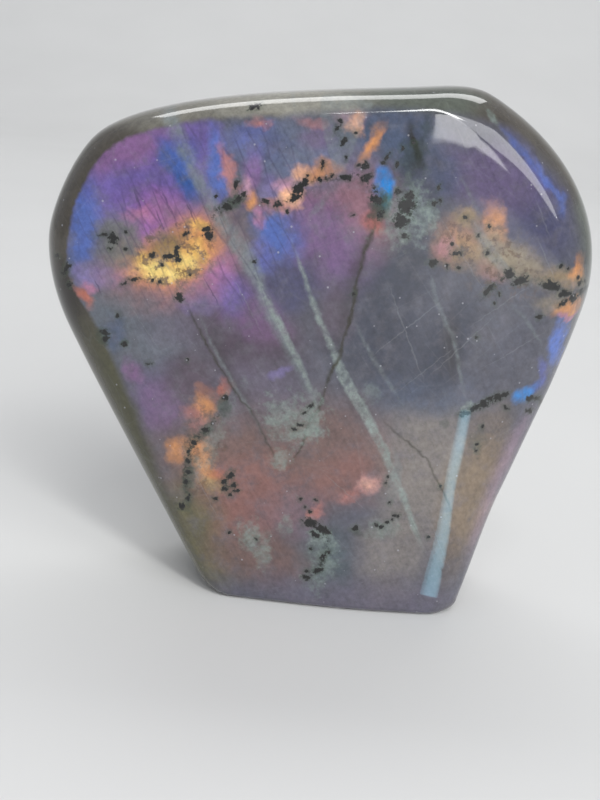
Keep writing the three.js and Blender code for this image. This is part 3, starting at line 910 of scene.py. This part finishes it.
grain_layer = Layer("dark_grains", gives=["Grains", "Stains"])
raggedness = grain_layer.grain(0.7, 4, 0.7) - 0.5
in_grain = None
for half_height, grains in GRAINS.items():
    nearest = None
    for x, z, half_length, turn in grains:
        if half_length < half_height * NEARLY_ROUND:
            off = grain_layer.where.from_spot(x, z)
        else:
            off = patch(grain_layer.where, x, z, half_length / half_height, 1, turn)
        nearest = nearest.least(off) if nearest else off
    off = nearest + raggedness * (RAGGED * (half_height + 0.35)) - half_height
    in_grain = in_grain.least(off) if in_grain else off
dark_grains, stains = grain_layer.laid(wavering, {
    "Grains": in_grain.ease(0.14, -0.1), "Stains": in_grain.ease(0.8, 0),
})
scattered = polished.grain(2.6, 4, 0.66).ease(0.62, 0.65) * (1 - on_front)
dark_grains = (dark_grains * on_front).most(scattered)
colour = polished.paint(colour, STAIN_GREEN, stains * on_front * 0.4)
colour = polished.paint(colour, ORE_BLACK, dark_grains)

# The grain of the stone
#
# Close up, the feldspar is never even: fine lines run down across it, the layers are
# mottled, and dust and tiny broken crystals shine as pale dots.
leaves = polished.field("ShaderNodeTexNoise", sockets={
    "Vector": polished.drawn_out(-58, 9, 0.55), "Scale": 1, "Detail": 3, "Roughness": 0.6,
})
mottle = polished.grain(1.1, 6, 0.7)
clouds = polished.grain(5, 3)
shade = 1 + (leaves - 0.5) * 0.36 + (mottle - 0.5) * 1.1 + (clouds - 0.5) * 0.6
colour = polished.field("ShaderNodeHueSaturation", sockets={"Value": shade, "Color": colour})

DUST_APART = 1.9
DUST_PALE = seen(178, 178, 186)
dots = polished.node("ShaderNodeTexVoronoi", sockets={
    "Vector": polished.place, "Scale": MM / DUST_APART,
})
dot_kind, _, _ = polished.parts("ShaderNodeSeparateColor", Field(polished, dots.outputs["Color"]))
dust = Field(polished, dots.outputs["Distance"]) - dot_kind.ease(0.45, 1) * 0.1
colour = polished.paint(colour, DUST_PALE, dust.ease(0.03, -0.02) * 0.5)

# The polish
#
# Buffed until it mirrors. The dark grains and their crumbs took the polish less well, and
# the wheel has left faint waves that only show in what is mirrored.
RELIEF = 0.00036

wheel_waves = polished.grain(17, 1)
polish_bump = polished.field(
    "ShaderNodeBump", sockets={"Strength": 0.6, "Distance": RELIEF, "Height": wheel_waves}
)
gloss = 0.07 + dark_grains * 0.16 + crumbs * 0.06 + (mottle - 0.5) * 0.04

look = polished.node("ShaderNodeBsdfPrincipled", sockets={
    "Base Color": colour,
    "Roughness": gloss,
    "Normal": polish_bump,
    "IOR": 1.56,
    "Coat Weight": 0.25,
    "Coat Roughness": 0.03,
})
polished.node("ShaderNodeOutputMaterial", sockets={0: Field(polished, look.outputs[0])})
stone.data.materials.clear()
stone.data.materials.append(stone_finish)

# The floor
#
# A plain pale table top with a low gloss, that sweeps up far behind the stone.
FLOOR_WIDTH = 6.0
FLOOR_FRONT = -3.0
FLOOR_BACK = 2.2
SWEEP_HEIGHT = 2.4
SWEEP_RADIUS = 1.1
TABLE_DARK = (0.60, 0.60, 0.59, 1)
TABLE_PALE = (0.64, 0.64, 0.63, 1)

bpy.ops.object.select_all(action="DESELECT")
bpy.ops.mesh.primitive_plane_add(size=1, location=(0, (FLOOR_FRONT + FLOOR_BACK) / 2, 0))
floor = bpy.context.object
floor.name = floor.data.name = "table_top"
floor.scale = (FLOOR_WIDTH, FLOOR_BACK - FLOOR_FRONT, 1)
bpy.ops.object.transform_apply(location=True, rotation=True, scale=True)
bpy.ops.object.mode_set(mode="EDIT")
shape = bmesh.from_edit_mesh(floor.data)
for edge in shape.edges:
    edge.select_set(all(vertex.co.y > FLOOR_BACK - 0.01 for vertex in edge.verts))
bmesh.update_edit_mesh(floor.data)
bpy.ops.mesh.select_mode(type="EDGE")
bpy.ops.mesh.extrude_region_move(TRANSFORM_OT_translate={"value": (0, 0, SWEEP_HEIGHT)})
bpy.ops.object.mode_set(mode="OBJECT")
sweep = floor.modifiers.new("sweep", "BEVEL")
sweep.width = SWEEP_RADIUS
sweep.segments = 24
bpy.ops.object.modifier_apply(modifier=sweep.name)
bpy.ops.object.shade_smooth()

table_finish, table = new_finish("pale_table_top")
table_place = table.field("ShaderNodeTexCoord", output="Object")
table_grain = table.field("ShaderNodeTexNoise", sockets={
    "Vector": table_place, "Scale": 9, "Detail": 2,
})
table_colour = table.paint(TABLE_DARK, TABLE_PALE, table_grain)
table_look = table.node("ShaderNodeBsdfPrincipled", sockets={
    "Base Color": table_colour,
    "Roughness": 0.45,
    "IOR": 1.2,
})
table.node("ShaderNodeOutputMaterial", sockets={0: Field(table, table_look.outputs[0])})
floor.data.materials.append(table_finish)

# The light
#
# Soft light from all round, and a few soft lamps in front, high on the right. The polish
# mirrors them: two panes in the top right corner and a long skylight along the top edge.
# A slim strip close to the stone gives the glint down the lower right edge.
world = bpy.data.worlds.new("soft_studio")
world.use_nodes = True
world.node_tree.nodes["Background"].inputs["Color"].default_value = (0.9, 0.93, 1, 1)
world.node_tree.nodes["Background"].inputs["Strength"].default_value = 0.45
bpy.context.scene.world = world

LAMP_DISTANCE = 2.5
WATTS_FOR_BRIGHTNESS = 4


def lamp(name, azimuth, elevation, width, height, brightness, tint=(1, 1, 1), lean=0):
    """A soft lamp, placed and sized in degrees as it is seen from the stone"""
    bpy.ops.object.light_add(type="AREA")
    made = bpy.context.object
    made.name = made.data.name = name
    made.matrix_world = (
        Matrix.Rotation(math.radians(azimuth), 4, "Z")
        @ Matrix.Rotation(math.radians(90 - elevation), 4, "X")
        @ Matrix.Translation((0, 0, LAMP_DISTANCE))
        @ Matrix.Rotation(math.radians(lean), 4, "Z")
    )
    made.data.shape = "RECTANGLE"
    made.data.size = LAMP_DISTANCE * math.radians(width)
    made.data.size_y = LAMP_DISTANCE * math.radians(height)
    made.data.energy = brightness * made.data.size * made.data.size_y * WATTS_FOR_BRIGHTNESS
    made.data.color = tint


lamp("left_pane", 16, 23.5, 15, 37, 4.2)
lamp("right_pane", 44, 33, 36, 36, 3)
lamp("ceiling", 180, 62, 60, 16, 3)
lamp("skylight", 16.7, 54.5, 34, 6, 12, lean=-53)

# A glint: a slim strip of light close to the stone, that only the polish shows
GLINT_FOOT = Vector((0.0303, -0.0182, 0.0016))
GLINT_TOP = Vector((0.0346, -0.0240, 0.0406))
GLINT_TINT = (0.38, 0.8, 1)
AWAY_FROM_STONE = Vector((0.4, -0.86, -0.3))
# Each strip with its width in metres and its power in watts
GLINT_STRIPS = {
    "glint_core": (0.0018, 0.0009),
    "glint": (0.0030, 0.0013),
    "glint_edges": (0.0044, 0.0011),
}

upwards = (GLINT_TOP - GLINT_FOOT).normalized()
backwards = AWAY_FROM_STONE.cross(upwards).normalized().cross(upwards) * -1
sideways = upwards.cross(backwards)
glint_place = (
    Matrix.Translation((GLINT_FOOT + GLINT_TOP) / 2)
    @ Matrix((sideways, upwards, backwards)).transposed().to_4x4()
)
for name, (width, power) in GLINT_STRIPS.items():
    bpy.ops.object.light_add(type="AREA")
    glint = bpy.context.object
    glint.name = glint.data.name = name
    glint.matrix_world = glint_place
    glint.data.shape = "RECTANGLE"
    glint.data.size = width
    glint.data.size_y = (GLINT_TOP - GLINT_FOOT).length
    glint.data.energy = power
    glint.data.color = GLINT_TINT
    glint.visible_camera = False
    glint.visible_diffuse = False

bpy.context.scene.view_settings.view_transform = "Standard"
